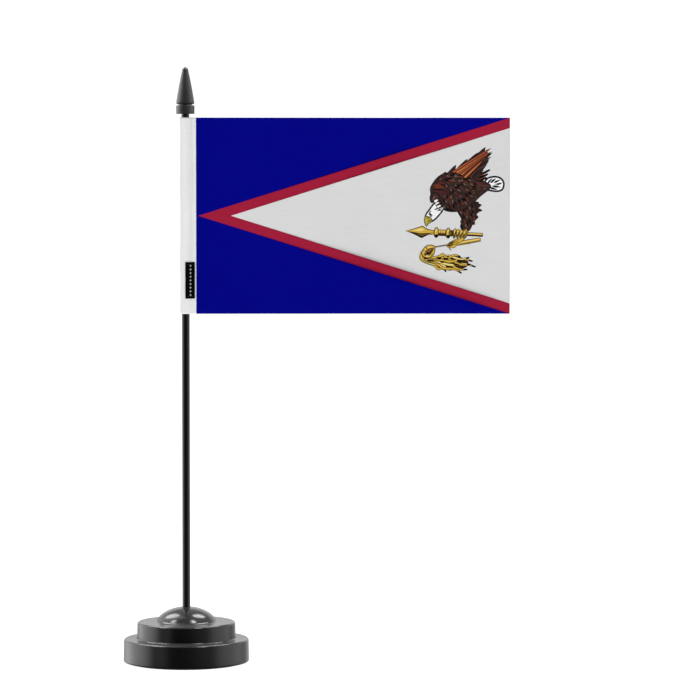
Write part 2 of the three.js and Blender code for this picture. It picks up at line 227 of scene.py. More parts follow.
class Surface(Nodes):
    """A Principled material, with its patterns laid out in the object's own coordinates."""

    def __init__(self, name, colour, roughness, **settings):
        self.material = bpy.data.materials.new(name)
        self.material.use_nodes = True
        self.material.diffuse_color = (*colour, 1.0)
        super().__init__(self.material.node_tree)
        self.inputs = self.nodes["Principled BSDF"].inputs
        settings = {"Base_Color": (*colour, 1.0), "Roughness": roughness, **settings}
        for key, value in settings.items():
            self.inputs[key.replace("_", " ")].default_value = value
        self.place = self.add("TexCoord").outputs["Object"]

    def axis(self, name):
        """One of the object's own coordinates, X, Y or Z, in metres."""
        return self.add("SeparateXYZ", Vector=self.place).outputs[name]

    def noise(self, scale, detail, stretch=None):
        """Noise, with a finer grain along the axes that have a larger stretch."""
        where = self.place
        if stretch:
            where = self.add("Mapping", Vector=self.place, Scale=stretch).outputs[0]
        return self.add("TexNoise", Scale=scale, Detail=detail, Vector=where).outputs["Fac"]

    def spread(self, value, low, high, from_low=0.0, from_high=1.0):
        """A value stretched from one range to another, held inside it."""
        return self.add("MapRange", Value=value, From_Min=from_low, From_Max=from_high,
                        To_Min=low, To_Max=high).outputs[0]

    def tint(self, colour, share):
        """The base colour, multiplied by a value that stays near 1."""
        node = self.add("VectorMath")
        node.operation = "SCALE"
        self.plug(colour, node.inputs[0])
        self.plug(share, node.inputs["Scale"])
        self.plug(node.outputs[0], self.inputs["Base Color"])

    def gloss(self, value, low, high):
        """A roughness that goes from low to high with a noise."""
        self.plug(self.spread(value, low, high, *NOISE_RANGE), self.inputs["Roughness"])

    def bump(self, height, distance_mm, strength):
        node = self.add("Bump", Height=height, Distance=distance_mm * MM, Strength=strength)
        self.plug(node.outputs[0], self.inputs["Normal"])


def moulded(name, colour, roughness, wear=0.05, **settings):
    """Moulded plastic: faint flow marks, fine handling scratches and uneven gloss."""
    surface = Surface(name, colour, roughness, **settings)
    flow = surface.noise(90.0, 4.0)
    scratches = surface.noise(700.0, 2.0, stretch=(1.0, 1.0, 0.06))
    marks = surface.plus(surface.times(flow, 0.6), surface.times(scratches, 0.4))
    surface.gloss(marks, roughness - wear, roughness + wear)
    surface.tint(colour, surface.spread(flow, 0.9, 1.12, *NOISE_RANGE))
    surface.bump(surface.noise(260.0, 2.0), 0.012, 0.35)
    return surface.material


def metal(name, colour, roughness):
    """Plated steel with turning lines and a slightly mottled finish."""
    surface = Surface(name, colour, roughness, Metallic=1.0)
    lines = surface.noise(900.0, 2.0, stretch=(0.05, 0.05, 1.0))
    mottle = surface.noise(220.0, 4.0)
    surface.gloss(lines, roughness - 0.08, roughness + 0.1)
    surface.tint(colour, surface.spread(mottle, 0.85, 1.1, *NOISE_RANGE))
    surface.bump(lines, 0.01, 0.4)
    return surface.material


def foam(name, colour):
    """Closed-cell foam: small round pores with painted shade inside them, and a matte skin."""
    surface = Surface(name, colour, 0.92)
    pores = surface.add("TexVoronoi", Scale=1400.0, Vector=surface.place).outputs["Distance"]
    # Painted shade: the colour darkens towards the middle of each pore, where the bump sinks.
    surface.tint(colour, surface.spread(pores, 0.6, 1.3))
    surface.bump(pores, 0.08, 0.7)
    return surface.material


def weave(surface, pitch_mm):
    """A plain weave's height: two sets of round threads that pass over each other in turn."""
    turns = 2 * math.pi / (pitch_mm * MM)
    warp = surface.math("SINE", surface.times(surface.axis("X"), turns))
    weft = surface.math("SINE", surface.times(surface.axis("Z"), turns))
    over = surface.times(warp, weft)
    both = surface.plus(surface.math("ABSOLUTE", warp), surface.math("ABSOLUTE", weft))
    return surface.plus(surface.times(over, 0.3), surface.times(both, 0.35))


def cloth(name, colour, roughness=0.8, pitch_mm=0.32, cut_edges=None):
    """Woven polyester: thread relief with painted shade where the threads dip, slubs and a slightly uneven
    dye.
    """
    surface = Surface(name, colour, roughness, Sheen_Weight=0.006, Sheen_Roughness=0.5,
                      Specular_IOR_Level=0.03)
    threads = weave(surface, pitch_mm)
    slubs = surface.noise(420.0, 3.0, stretch=(0.25, 1.0, 2.0))
    dye = surface.noise(26.0, 3.0)
    # Painted shade: the colour darkens a little where the weave's threads dip.
    share = surface.spread(threads, 0.95, 1.03, -0.3, 1.0)
    share = surface.times(share, surface.spread(dye, 0.975, 1.02, *NOISE_RANGE))
    share = surface.times(share, surface.spread(slubs, 0.985, 1.015, *NOISE_RANGE))
    if cut_edges:
        share = surface.times(share, hot_cut(surface, *cut_edges))
    surface.tint(colour, share)
    surface.gloss(slubs, roughness - 0.06, roughness + 0.08)
    surface.bump(surface.plus(threads, surface.times(slubs, 0.4)), 0.05, 0.5)
    return surface.material


def hot_cut(surface, low, high):
    """A share that drops a little next to the edges, where the cloth was cut hot."""
    margin_mm = 0.6
    below = surface.math("SUBTRACT", surface.axis("Z"), low.z * MM)
    above = surface.math("SUBTRACT", high.z * MM, surface.axis("Z"))
    beside = surface.math("SUBTRACT", high.x * MM, surface.axis("X"))
    nearest = surface.math("MINIMUM", surface.math("MINIMUM", below, above), beside)
    return surface.spread(nearest, 0.8, 1.0, 0.0, margin_mm * MM)


def twisted(name, colour):
    """Spun thread: fine ridges that run round it at a slant, with painted shade in the grooves between
    them.
    """
    ridge_pitch_mm = 0.16
    surface = Surface(name, colour, 0.7, Sheen_Weight=0.15, Specular_IOR_Level=0.3)
    slant = surface.plus(surface.axis("Z"), surface.times(surface.axis("X"), 0.8))
    ridges = surface.math("SINE", surface.times(slant, 2 * math.pi / (ridge_pitch_mm * MM)))
    # Painted shade: the colour darkens in the grooves between the ridges.
    surface.tint(colour, surface.spread(ridges, 0.86, 1.04, -1.0, 1.0))
    surface.bump(ridges, 0.03, 0.5)
    return surface.material

# ---- base, pole and finial

# The moulding's outer shape. Heights are above its lower rim.
LOWER_TIER_HEIGHT = 11.8
UPPER_TIER_HEIGHT = 20.4
UPPER_TIER_RADIUS = 25.3
TIER_DRAFT = 0.2
TIER_EDGE_ROUND = 1.2
FOOT_FILLET = 0.8
RIM_ROUND = 0.9
DOME_HEIGHT = 28.0
DOME_RADIUS = 16.0
DOME_CROWN = 10.1
DOME_COVE_HEIGHT = 1.2
SOCKET_RADIUS = 2.15
SOCKET_LEAD_IN = 0.4
WALL = 2.0


def dome_arc(radius, crown, start, end, steps):
    """Part of the dome's elliptical outline. Angles run up from its widest level, in radians."""
    centre_z = rim_z + DOME_HEIGHT - DOME_CROWN
    unit = arc((0.0, 0.0), 1.0, math.degrees(start), math.degrees(end), steps)
    return [(radius * x, centre_z + crown * z) for x, z in unit]


def dome_cove(foot_angle, tier_z):
    """A soft cove from the upper tier's top into the dome, along the tangents of both."""
    top = (DOME_RADIUS * math.cos(foot_angle), tier_z + DOME_COVE_HEIGHT)
    lean = DOME_RADIUS * math.tan(foot_angle) / DOME_CROWN
    corner = (top[0] + lean * DOME_COVE_HEIGHT, tier_z)
    outer = (corner[0] + math.hypot(lean, 1.0) * DOME_COVE_HEIGHT, tier_z)
    steps = 12
    return [tuple(bezier(outer, corner, top, i / steps)) for i in range(steps + 1)]


def tier_edge(radius, z):
    """The rounded outer edge of a tier, drawn in a little by the moulding's draft."""
    corner = (radius - TIER_DRAFT - TIER_EDGE_ROUND, z - TIER_EDGE_ROUND)
    return arc(corner, TIER_EDGE_ROUND, 0, 90, 12)


def base_profile():
    """The hollow moulding's profile: up inside the skirt, out at the rim, over the tiers and the dome."""
    lower_z = rim_z + LOWER_TIER_HEIGHT
    upper_z = rim_z + UPPER_TIER_HEIGHT
    centre_z = rim_z + DOME_HEIGHT - DOME_CROWN
    socket_floor = pole_low.z - 0.1
    tube_radius = 4.4
    inner_radius, inner_crown = DOME_RADIUS - WALL, DOME_CROWN - WALL
    tube_angle = math.acos(tube_radius / inner_radius)
    ledge_angle = math.asin((upper_z - WALL - centre_z) / inner_crown)
    hollow = [(0.0, socket_floor - WALL), (tube_radius, socket_floor - WALL)]
    hollow += dome_arc(inner_radius, inner_crown, tube_angle, ledge_angle, 8)
    hollow += [
        (UPPER_TIER_RADIUS - WALL, upper_z - WALL),
        (UPPER_TIER_RADIUS - WALL, lower_z - WALL),
        (base_radius - WALL, lower_z - WALL),
        (base_radius - WALL, rim_z),
    ]
    skirt = arc((base_radius - RIM_ROUND, rim_z + RIM_ROUND), RIM_ROUND, -90, 0, 6)
    tiers = tier_edge(base_radius, lower_z)
    tiers += arc((UPPER_TIER_RADIUS + FOOT_FILLET, lower_z + FOOT_FILLET), FOOT_FILLET, 270, 180, 10)
    tiers += tier_edge(UPPER_TIER_RADIUS, upper_z)

    foot_angle = math.asin((upper_z + DOME_COVE_HEIGHT - centre_z) / DOME_CROWN)
    mouth_radius = SOCKET_RADIUS + SOCKET_LEAD_IN
    mouth_angle = math.acos(mouth_radius / DOME_RADIUS)
    mouth_z = centre_z + DOME_CROWN * math.sin(mouth_angle)
    dome = dome_cove(foot_angle, upper_z)
    dome += dome_arc(DOME_RADIUS, DOME_CROWN, foot_angle, mouth_angle, 48)[1:]
    lead_in = arc((mouth_radius, mouth_z - SOCKET_LEAD_IN), SOCKET_LEAD_IN, 90, 180, 6)[1:]
    socket = [(SOCKET_RADIUS, socket_floor), (0.0, socket_floor)]
    return hollow + skirt + tiers + dome + lead_in + socket


def pole_profile():
    radius = pole_high.x
    chamfer = 0.3
    low, high = pole_low.z, pole_high.z
    profile = [(0.0, low), (radius - chamfer, low), (radius, low + chamfer)]
    lengths = 24
    profile += [(radius, low + (high - low) * i / lengths) for i in range(1, lengths)]
    return profile + [(radius, high - chamfer), (radius - chamfer, high), (0.0, high)]


def finial_profile():
    """A collar, a groove and a slightly bulging spear cone with a round tip."""
    collar_radius = finial_high.x
    collar_height, groove_height, groove_radius = 4.3, 0.6, 3.55
    cone_radius, tip_radius, socket_depth = 4.65, 1.55, 8.6
    edge, shoulder, bulge = 0.3, 0.75, 0.3
    low, high = finial_low.z, finial_high.z
    collar_top = low + collar_height
    groove_top = collar_top + groove_height
    cone_foot = groove_top + shoulder
    tip_z = high - tip_radius
    cone_middle = ((cone_radius + tip_radius) / 2 + bulge, (cone_foot + tip_z) / 2)
    steps = 24
    cone = [tuple(bezier((cone_radius, cone_foot), cone_middle, (tip_radius, tip_z), i / steps))
            for i in range(steps + 1)]
    profile = [(0.0, low + socket_depth), (SOCKET_RADIUS, low + socket_depth), (SOCKET_RADIUS, low)]
    profile += arc((collar_radius - edge, low + edge), edge, -90, 0, 5)
    profile += arc((collar_radius - edge, collar_top - edge), edge, 0, 90, 5)
    profile += arc((groove_radius + edge, collar_top + edge), edge, 270, 180, 4)
    profile += [(groove_radius, groove_top)]
    profile += arc((cone_radius - shoulder, cone_foot), shoulder, -90, 0, 8)[:-1]
    profile += cone
    profile += arc((0.0, tip_z), tip_radius, 0, 90, 12)[1:-1]
    return profile + [(0.0, high)]


base_shell = turned("base_moulding", base_profile(), 256)
coat(base_shell, moulded(
    "gloss_black", (0.0018, 0.0018, 0.0021), 0.17, 0.03, Sheen_Weight=0.32, Sheen_Roughness=0.4))
pole = turned("pole_rod", pole_profile(), 64)
coat(pole, moulded("pole_black", (0.002, 0.002, 0.0023), 0.14, 0.04))
finial = turned("finial_spear", finial_profile(), 96)
coat(finial, moulded("finial_black", (0.016, 0.016, 0.018), 0.27, 0.05, Specular_IOR_Level=0.8))

# ---- the cloth's shape


def ripple(x, z):
    """How far the flag cloth stands forward or back of flat, in millimetres, x from its hoist edge."""
    grow = min(max(x / FLAG_WIDTH, 0.0), 1.0) ** 1.3
    long_wave = 1.1 * math.sin(2 * math.pi * (x / 150 + 0.16 * z / FLAG_HEIGHT) + 0.6)
    short_wave = 0.4 * math.sin(2 * math.pi * (x / 58 - 0.3 * z / FLAG_HEIGHT) + 2.0)
    return -grow * (long_wave + short_wave)


def ripple_normal(x, z):
    """The way that the rippled cloth's back faces."""
    step = 0.05
    along_x = (ripple(x + step, z) - ripple(x - step, z)) / (2 * step)
    along_z = (ripple(x, z + step) - ripple(x, z - step)) / (2 * step)
    return Vector((-along_x, 1.0, -along_z)).normalized()


# ---- the print

PRINT_COLOURS = {
    "blue": (0.0002, 0.0008, 0.24),
    "red": (0.375, 0.014, 0.045),
    "field": (0.745, 0.745, 0.745),
    "ink": (0.006, 0.004, 0.005),
    "umber": (0.040, 0.022, 0.019),
    "brown": (0.080, 0.038, 0.029),
    "tan": (0.15, 0.085, 0.066),
    "maroon": (0.085, 0.022, 0.024),
    "chestnut": (0.43, 0.100, 0.044),
    "gold": (0.66, 0.42, 0.062),
    "pale_gold": (0.86, 0.68, 0.22),
    "bronze": (0.19, 0.12, 0.025),
    "white": (0.94, 0.94, 0.94),
    "shade": (0.52, 0.52, 0.54),
    "rust": (0.15, 0.036, 0.016),
    "moss": (0.030, 0.031, 0.022),
    "olive": (0.40, 0.34, 0.06),
    "shadow": (0.05, 0.022, 0.008),
}

# Shapes are painted in order, the later ones on top. Each is (outline in millimetres, colour name).
painted = []
INK_LINE = 0.26


def grown(outline, by):
    """An outline pushed outwards by a distance, for the ink line round a shape."""
    points = [Vector(p) for p in outline]
    ahead = points[1:] + points[:1]
    area = sum(p.x * q.y - q.x * p.y for p, q in zip(points, ahead))
    if area < 0:
        by = -by
    pushed = []
    for last, here, following in zip(points[-1:] + points, points, ahead):
        run = (here - last).normalized() + (following - here).normalized()
        pushed.append(here + Vector((run.y, -run.x)).normalized() * by)
    return pushed


def paint(outline, colour, line=INK_LINE):
    if line:
        painted.append((grown(outline, line), "ink"))
    painted.append(([Vector(p) for p in outline], colour))


def blob(points, colour, line, steps=4):
    """A rounded shape through a few points."""
    paint(spline(points, steps, closed=True), colour, line)


def leaf(root, tip, width, bend=0.0, steps=6):
    """A feather or claw outline: narrow at the root, widest past its middle, with a round-pointed tip."""
    root, tip = Vector(root), Vector(tip)
    along = tip - root
    side = Vector((-along.y, along.x)).normalized()
    outline = []
    for sign in (1, -1):
        rows = []
        for i in range(steps + 1):
            t = i / steps
            half = width / 2 * math.sin(math.pi * min(t ** 0.62 * 0.97 + 0.03, 1.0)) ** 0.75
            sway = bend * math.sin(math.pi * t)
            rows.append(root + along * t + side * (sway + sign * half))
        outline += rows if sign > 0 else rows[::-1][1:-1]
    return outline


def feather(root, tip, width, colour, bend=0.0, line=INK_LINE):
    paint(leaf(root, tip, width, bend), colour, line)


def stroke(start, end, width, colour="ink"):
    """A short pen stroke, pointed at both ends."""
    paint(leaf(start, end, width, steps=4), colour, 0.0)


def strokes(rows, width, colour="ink"):
    """Several strokes, each given by the x and z of its start and of its end."""
    for x, z, end_x, end_z in rows:
        stroke((x, z), (end_x, end_z), width, colour)


def ribbon(path, half_widths):
    """An outline along a curved path, with a half width at each of its points."""
    path = [Vector(p) for p in path]
    left, right = [], []
    for i, p in enumerate(path):
        along = path[min(i + 1, len(path) - 1)] - path[max(i - 1, 0)]
        side = Vector((-along.y, along.x)).normalized() * half_widths[i]
        left.append(p + side)
        right.append(p - side)
    return left + right[::-1]


def quill(root, tip, root_width, tip_width, colour, line, shaft=None):
    """A long feather with straight sides, narrower at its tip, and perhaps a thin shaft."""
    path = [between(root, tip, t) for t in (0.0, 0.3, 0.6, 0.86, 0.96, 1.0)]
    middle = root_width * 0.4 + tip_width * 0.6
    half_widths = [root_width * 0.42, root_width / 2, middle / 2, tip_width / 2, tip_width * 0.32, 0.06]
    paint(ribbon(path, half_widths), colour, line)
    if shaft:
        paint(ribbon([between(root, tip, 0.04), between(root, tip, 0.9)], [0.10, 0.05]), shaft, 0.0)


def heading(degrees, length):
    """A step of a length in a direction, turned from the X axis."""
    turn = math.radians(degrees)
    return Vector((math.cos(turn), math.sin(turn))) * length


def scatter(seed, spread):
    """A small made-up offset, always the same for the same seed."""
    where = Vector((seed * 1.37 + 0.31, seed * 0.73 + 0.17, 2.6))
    return Vector((noise.noise(where), noise.noise(where + Vector((9.1, 4.2, 0.0))))) * spread


def paint_field():
    """On the blue ground, a red-edged white triangle from near the hoist to the fly edge."""
    middle = FLAG_HEIGHT / 2
    for apex_x, corner_inset, colour in ((0.9, 0.0, "red"), (17.7, 5.25, "field")):
        paint([(apex_x, middle), (FLAG_WIDTH, corner_inset), (FLAG_WIDTH, FLAG_HEIGHT - corner_inset)],
              colour, 0.0)


def paint_tail():
    """A short white fan, closed by one outline, with a few strokes between its feathers."""
    blob([(147.4, 66), (148.5, 68.4), (151, 69.4), (153.9, 69.3), (155.9, 67.9), (156.5, 65.8),
          (155.7, 63.7), (153.7, 63), (150.4, 63.3), (147.6, 64.2)], "white", 0.9, steps=5)
    strokes([(150, 64.1, 154.6, 64.7), (149.4, 67.9, 152.6, 68.8), (152, 65.8, 155.4, 66.3)],
            1.2, "shade")
    strokes([(148.6, 66.4, 150.8, 69.2), (150, 66.6, 153, 69.2), (151.8, 66.8, 155.2, 68.5),
             (153, 65.9, 156.3, 66.8), (150.8, 65.2, 155.6, 64.6), (149.6, 64.4, 153.8, 63.2)], 1)


def paint_leg():
    """The near thigh, with loose tufts down its back."""
    tufts = ((141, 56.2, 8, 3.2), (141.4, 55.2, 4, 4.2), (141.6, 54, 20, 3.6),
             (142, 53, -4, 3.8), (141.6, 51.8, 10, 2.8), (141.2, 50.2, -22, 2.9),
             (140.6, 48.8, -8, 2.6), (139.6, 47.6, -40, 3.2), (138.2, 46.6, -56, 3))
    for x, z, degrees, length in tufts:
        feather((x, z), Vector((x, z)) + heading(degrees, length), 1.7, "umber")
    blob([(133, 55.4), (133.7, 51.6), (135.7, 48), (134.9, 44.2), (137.2, 42.2), (139.4, 42.8),
          (141.2, 46.4), (142.7, 49.6), (142.9, 52.6), (141.8, 56.2), (138, 58.6)], "umber", 0.3)
    stroke((132.8, 55.4), (135.8, 47.2), 1.2)
    tones = ("ink", "brown", "rust", "tan", "umber", "ink", "brown")
    for row in range(8):
        for k in range(5 if row < 6 else 3):
            seed = row * 5 + k
            root = Vector((134.8 + 1.5 * k + 0.1 * row, 57.2 - 1.6 * row - 0.3 * k)) + scatter(seed, 1)
            feather(root, root + Vector((0.6, -2.3)), 0.85, tones[seed * 3 % len(tones)], line=0.08)


def paint_body():
    blob([(120.2, 65.6), (119.6, 62.4), (120.8, 58.4), (123.4, 55.8), (127, 52.9), (131.2, 52.2),
          (135.4, 52.9), (140.6, 56.2), (145.2, 60.4), (150.2, 64.8), (146.4, 67.6), (139.2, 69.2),
          (131.6, 72), (124.6, 70.6)], "umber", 0.34)
    stroke((124.4, 54.2), (132.4, 52.4), 1.2)


def paint_wing():
    """The raised wing: dark flight feathers behind, long chestnut coverts laid over them."""
    for root, tip in (
        ((142.6, 69.6), (150, 73.6)), ((143, 68.4), (148.9, 71.4)), ((143.6, 67.4), (148.2, 69.6)),
    ):
        quill(root, tip, 1.5, 1.1, "ink", 0)
    for root, tip in (((141.6, 69.4), (147.4, 71.6)), ((142.4, 67.8), (147, 69.6))):
        quill(root, tip, 0.9, 0.5, "rust", 0)
    flights = 9
    for i in range(flights):
        t = i / (flights - 1)
        root = between((131, 71), (142.4, 67.4), t)
        tip = bezier((150.9, 84.2), (151.9, 79.4), (145.2, 73.2), t) + scatter(i + 40, 1.1)
        feather(root, tip, 2.6, "umber" if i % 3 else "brown", bend=0.3, line=0.24)
    for root, tip in (
        ((122.2, 65.6), (127.3, 72.5)), ((127, 68.4), (132.5, 75.9)), ((132.4, 71.6), (138.3, 78.9)),
        ((137.2, 75), (143.7, 82.2)), ((141.6, 77.8), (147.5, 84.9)),
    ):
        feather(root, tip, 2.2, "umber", bend=-0.2, line=0.3)
    coverts = 6
    for i in range(coverts):
        t = i / (coverts - 1)
        root = between((131.2, 72.2), (134.8, 67.5), t)
        tip = bezier((149.3, 83.8), (149.5, 81.6), (146.6, 78.6), t) - Vector((0.8, 0.7)) * (i % 2)
        colour = "rust" if i == 4 else "chestnut"
        quill(root, tip, 1.3, 0.7, colour, 0.3, "gold" if i % 2 else "rust")


def paint_mantle():
    """Small overlapping feathers over the back, shoulder and breast, in no strict order."""
    tones = ("brown", "ink", "tan", "umber", "maroon", "ink",
             "brown", "moss", "tan", "ink", "rust", "brown")
    rows = 15
    for row in range(rows):
        t = row / (rows - 1)
        start = bezier((131.6, 71.6), (123.6, 71.4), (121.2, 62.4), t)
        end = bezier((147.6, 65.4), (143.8, 57.2), (127.4, 53.6), t)
        count = 13 - row // 4
        for k in reversed(range(count)):
            seed = row * 13 + k
            root = between(start, end, k / count) + scatter(seed, 1.2)
            degrees = -20 - 50 * t + math.degrees(scatter(seed + 200, 0.9).x)
            tone = tones[(seed * 5 + row * 3) % len(tones)]
            feather(root, root + heading(degrees, 2.4), 0.9, tone, line=0.08)
    feather((142.4, 66.9), (150, 64.7), 2.2, "brown", line=0.14)
    feather((143.6, 66.9), (148.8, 65.5), 1.1, "maroon", line=0.0)
    feather((120.9, 65.4), (126.8, 64.4), 2.4, "rust", line=0.16)
    feather((123, 67.4), (128.4, 66), 1.6, "maroon", line=0.14)
    feather((121.4, 62.8), (128.4, 61.6), 1.9, "maroon", line=0.14)
    stroke((120.2, 63.6), (128.6, 62.9), 0.6)


def paint_far_shoulder():
    blob([(122.8, 61.8), (120, 61.2), (119.3, 58.8), (120, 56.8), (121.8, 57.6), (124.2, 59.2)],
         "umber", 0.3)
    feather((123, 60.4), (120.4, 57.8), 1.9, "brown", line=0.0)
    feather((121.6, 60.2), (120.6, 58), 0.8, "tan", line=0.0)


def paint_head():
    """The white head with its neck feathers, a dark brow, the eye and the beak."""
    blob([(122.9, 57.8), (121.8, 56.4), (119.5, 53.3), (117.5, 50.3), (117.5, 48.4), (119.2, 47.4),
          (121.2, 48.2), (123.3, 50.3), (124.8, 52.1), (125.3, 53.3), (124.4, 55.4)], "white", 0.8)
    for x, z in ((122.6, 57.9), (123.2, 56.5), (124.1, 55.1), (125.3, 53.8)):
        feather((x - 1.2, z - 0.9), (x + 0.8, z + 0.4), 1.3, "white", line=0.38)
    strokes([(121.4, 53, 124.2, 54.2), (122.8, 52.4, 126, 54), (122.4, 55.2, 124.4, 56.6),
             (123.2, 53.6, 125.8, 55.2), (118.9, 51.6, 119.9, 52.9)], 0.68)
    stroke((118.5, 51.4), (120.6, 49.9), 1.1)
    paint(arc((119.6, 49.9), 0.42, 0, 330, 8), "gold", 0.22)
    paint(arc((119.5, 49.95), 0.2, 0, 315, 6), "ink", 0)
    blob([(117, 49.6), (116.5, 47.8), (116.9, 45.9), (117.5, 44.8), (118.3, 46), (119.8, 46.9),
          (120.1, 48.2), (118.7, 49.2)], "olive", 0.34, steps=3)
    stroke((117.4, 48.9), (117.4, 46), 0.9, "gold")
    strokes([(120.1, 47.8, 117.6, 46.9), (117.6, 49.4, 119, 48.4)], 0.42)


STAFF_TIP = Vector((107, 42.3))
STAFF_END = Vector((147, 40.2))


def on_staff(along, side):
    """A point at a distance along the staff from its tip, and off to one side of it."""
    direction = (STAFF_END - STAFF_TIP).normalized()
    return STAFF_TIP + direction * along + Vector((-direction.y, direction.x)) * side


def staff_shape(points, colour, line=0.0):
    paint([on_staff(along, side) for along, side in points], colour, line)


def staff_part(start, end, half, line=0.34):
    """A round part of the staff, with a dark underside and a light streak."""
    for top, bottom, colour, rim in (
        (1, -1, "gold", line), (-0.15, -1, "shadow", 0), (0.6, 0.25, "pale_gold", 0),
    ):
        staff_shape([(start, half * top), (end, half * top), (end, half * bottom), (start, half * bottom)],
                    colour, rim)


def staff_ring(centre, half_width, half_height):
    """A knob across the staff, lit at its top and dark below."""
    sides = 14
    ring = arc((0, 0), 1, 0, 360 - 360 / sides, sides - 1)
    staff_shape([(centre + half_width * x, half_height * y) for x, y in ring], "gold", 0.4)
    for along, top, bottom, width, colour in (
        (-0.2, 0.75, -0.1, 0.8, "pale_gold"), (0.1, -0.35, -1.02, 1.9, "ink"),
    ):
        stroke(on_staff(centre + along, half_height * top), on_staff(centre + along, half_height * bottom),
               half_width * width, colour)


def paint_staff():
    """A gilt staff with a broad point, a grooved drum between two rings, and a bound neck."""
    staff_part(21, 39.1, 0.7, line=0.4)
    staff_part(15, 22, 1.4)
    staff_shape([(0, 0), (4, 1), (8.2, 2.7), (11.2, 1.1), (15, 0.7), (15, -0.7),
                 (11.2, -1.1), (8.2, -2.9), (4, -1)], "gold", 0.4)
    staff_shape([(0.4, 0.05), (7.8, -0.9), (14.8, -0.1), (11.2, -1.1), (8.2, -2.9), (4, -1)], "ink")
    staff_shape([(4.6, -0.75), (8.2, -1.5), (11.6, -0.75), (8.2, -2.3)], "bronze")
    staff_shape([(2.6, 0.3), (8.1, 1.9), (9.6, 0.9), (7.4, 0.2)], "pale_gold")
    for centre in (15.5, 21.6):
        staff_ring(centre, 0.95, 2.45)
    for i in range(4):
        stroke(on_staff(16.5 + 1.2 * i, 1.2), on_staff(16.5 + 1.2 * i, -0.8), 0.4, "bronze")
    feather(on_staff(22, 0), on_staff(26.6, 0), 2.6, "bronze", line=0.34)
    for side in (1, -1):
        stroke(on_staff(22.6, 1.3 * side), on_staff(25.8, -1.1 * side), 0.7)


def paint_feet():
    """One foot grips the staff, the other the whisk's handle below it."""
    handle = [between((132.2, 35.6), (145, 37.9), t) for t in (0, 0.5, 1)]
    paint(ribbon(handle, [0.85, 0.85, 0.8]), "gold", 0.32)
    for reach, lift, half, colour in ((0.98, -0.5, 0.24, "bronze"), (0.95, 0.25, 0.22, "pale_gold")):
        streak = [between(handle[0], handle[-1], t) + Vector((0, lift)) for t in (0.1, reach)]
        paint(ribbon(streak, [half, half]), colour, 0)
    shank = spline([(136.9, 42.8), (137.4, 40.8), (135.2, 38), (132.8, 36.8)], 3)
    paint(ribbon(shank, [1.1 - 0.03 * i for i in range(len(shank))]), "gold", 0.28)
    for i in range(4):
        top = on_staff(25.0 + 1.65 * i, 2.5 - 0.2 * i)
        bottom = on_staff(24.6 + 1.65 * i, -2.7 + 0.1 * i)
        feather(top, bottom, 1.6, "gold", bend=0.35, line=0.34)
        stroke(between(top, bottom, 0.2) + Vector((0.5, 0)), between(top, bottom, 0.98), 0.95, "shadow")
        stroke(between(top, bottom, 0.12), between(top, bottom, 0.55), 0.5, "pale_gold")
    for i in range(4):
        root = Vector((133.6 - 0.3 * i, 38.0 - 1.0 * i))
        tip = root + Vector((-5, -2.1 + 0.5 * i))
        feather(root, tip, 1.45, "gold", bend=0.4)
        stroke(between(root, tip, 0.3), between(root, tip, 0.9), 0.5, "bronze")
    for x, z in ((128.2, 35.2), (128.8, 33.6)):
        stroke((x, z), (x + 1.6, z - 1.5), 0.5)


def paint_whisk():
    """A cord, a round bound knot, and wavy strands that run out to dark tips."""
    cord = spline([(128.8, 35.3), (125.6, 34.7), (121.2, 34)], 4)
    paint(ribbon(cord, [0.24] * len(cord)), "bronze", 0.12)
    blob([(114.9, 31.4), (115.2, 28.4), (118.2, 26), (122.6, 24.2), (127.6, 23), (134, 22.8),
          (138.6, 24.8), (137.4, 27.6), (131.6, 29.4), (125.6, 29.2), (121.8, 27.8), (119.8, 29.6),
          (118.4, 31.6)], "shadow", 0.28)
    tips = [(127.4, 21.6), (131.2, 22.8), (135.3, 20.7), (138.2, 22.6), (142.5, 23.9), (140, 25.2),
            (140.9, 26.8), (139.2, 28.7), (134.6, 29.2), (128.6, 29.4)]
    for i, tip in enumerate(tips):
        t = i / (len(tips) - 1)
        tip = Vector(tip)
        start = between((115, 31.8), (119.4, 30.6), t)
        turn = bezier((114.8, 27.6), (118.6, 27.6), (120.4, 28.6), t)
        sweep = between((121.4, 24.8), (124.4, 29.4), t)
        wave = Vector((0, 1.0 if i % 2 else -0.9))
        bends = [between(sweep, tip, 0.34) + wave, between(sweep, tip, 0.72) - wave * 0.8]
        path = spline([start, turn, sweep, *bends, tip], 4)
        last = len(path) - 1
        half_widths = [0.1 + 0.4 * math.sin(math.pi * (0.12 + 0.84 * k / last)) ** 0.8
                       for k in range(last + 1)]
        paint(ribbon(path, half_widths), "pale_gold" if i % 3 == 1 else "gold", 0.24)
        stroke(path[-3], tip + (tip - path[-4]).normalized() * 0.5, 0.66)
    for i in range(8):
        at = between((118.4, 26.4), (136.4, 26.2), i / 7) + scatter(i + 90, 3)
        stroke(at - Vector((1.7, -0.4)), at + Vector((1.7, 0.4)), 1.15, "shadow" if i % 2 else "ink")
    blob([(121.6, 34), (120.1, 34.9), (117.8, 34.6), (115.9, 32.8), (115.3, 30.6), (116.6, 29),
          (119, 28.8), (120.8, 30), (121.5, 32)], "gold", 0.38)
    feather((116.8, 29.8), (121, 33.6), 2.5, "bronze", line=0.3)
    feather((117.6, 30.3), (120.4, 32.8), 1.5, "ink", line=0.0)
    stroke((118.2, 31.2), (120.2, 33), 0.6, "chestnut")
    strokes([(116, 30.8, 117.2, 33.6), (117.6, 34, 121, 34), (117.2, 29.6, 119.2, 29.4)],
            0.6, "pale_gold")
    strokes([(118, 33, 116.8, 34.4), (120.2, 32.6, 121.6, 33.2), (116.6, 30, 118, 30.8),
             (120.6, 30.8, 119.8, 29.4), (115.5, 32, 117, 32.4), (115, 29.2, 116.4, 29.6)], 0.42)


